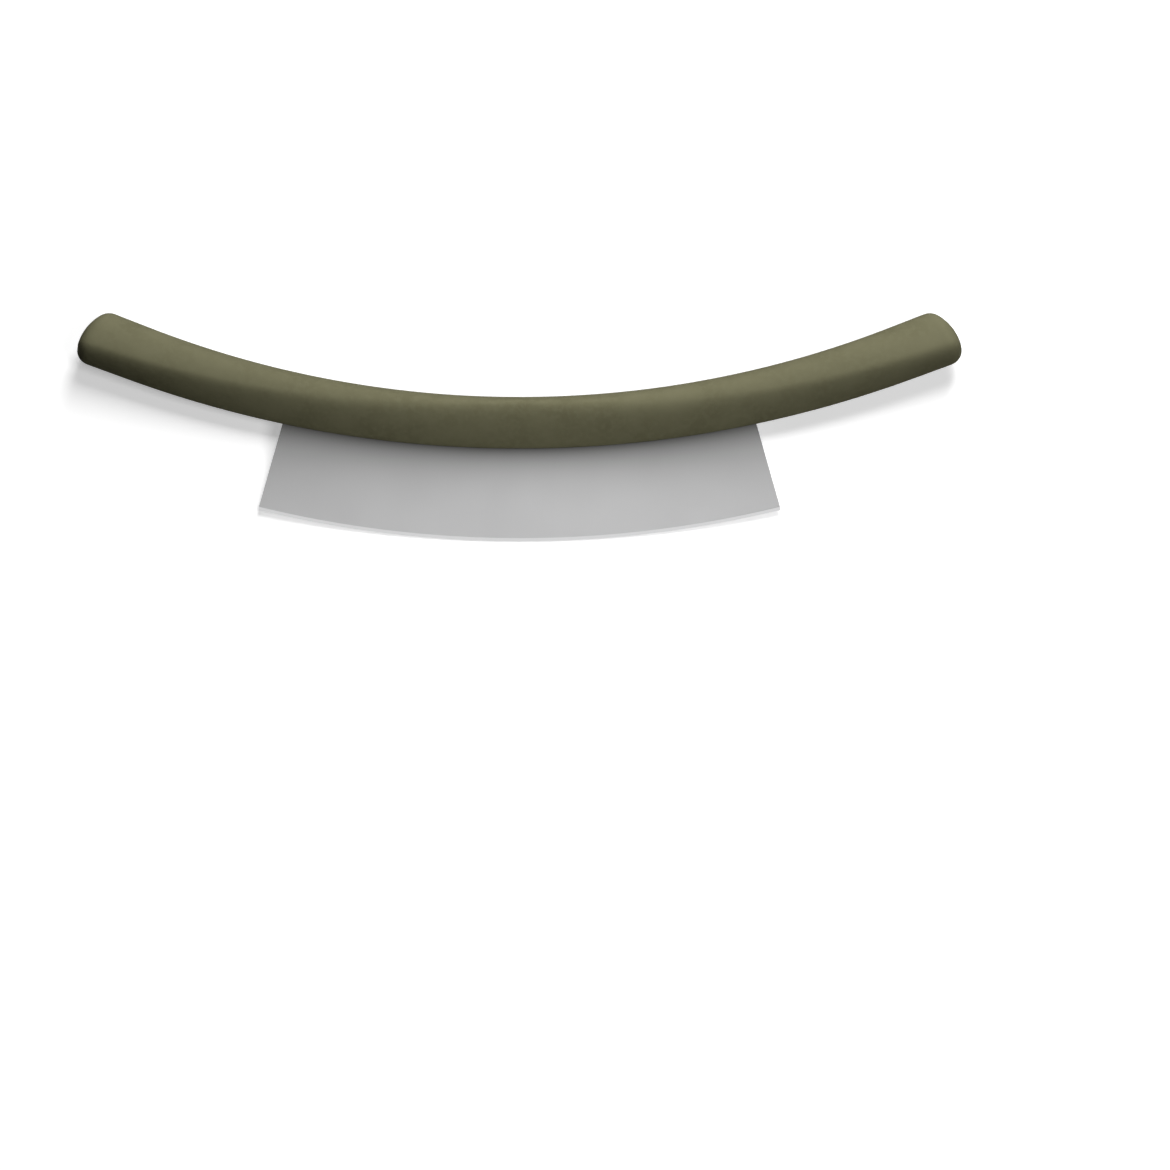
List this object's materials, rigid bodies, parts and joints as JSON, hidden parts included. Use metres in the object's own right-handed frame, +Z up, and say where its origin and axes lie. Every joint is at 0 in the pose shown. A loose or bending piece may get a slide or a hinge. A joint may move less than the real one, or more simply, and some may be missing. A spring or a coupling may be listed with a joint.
{
  "type": "mezzaluna",
  "caption": "Two-handed mezzaluna: a wide stainless rocking blade with an arced edge, held along its back by an upturned olive green bar handle.",
  "frame": {"origin": "on the surface that the knife lies on, under the middle of its outline seen from above", "axes": "+X along the knife, +Y from the cutting edge towards the handle, +Z up from the surface it lies on. The knife lies on its side: the back of the handle and the blade's edge touch Z = 0, so the blade's plane leans about 10 degrees."},
  "size_m": [0.3808, 0.0972, 0.0257],
  "materials": {
    "blade_steel": "satin ground stainless steel, bright at the edge bevel",
    "grip_skin": "matte olive green soft-touch skin",
    "core_plastic": "black glass-filled moulding, hidden",
    "pin_steel": "plain stainless steel, hidden"
  },
  "bodies": {
    "root": {"blade": "blade_steel", "core_front": "core_plastic", "core_rear": "core_plastic", "grip": "grip_skin", "pin_1": "pin_steel", "pin_2": "pin_steel", "pin_3": "pin_steel", "pin_4": "pin_steel", "pin_5": "pin_steel", "pin_6": "pin_steel", "pin_7": "pin_steel", "pin_8": "pin_steel"}
  },
  "joints": []
}
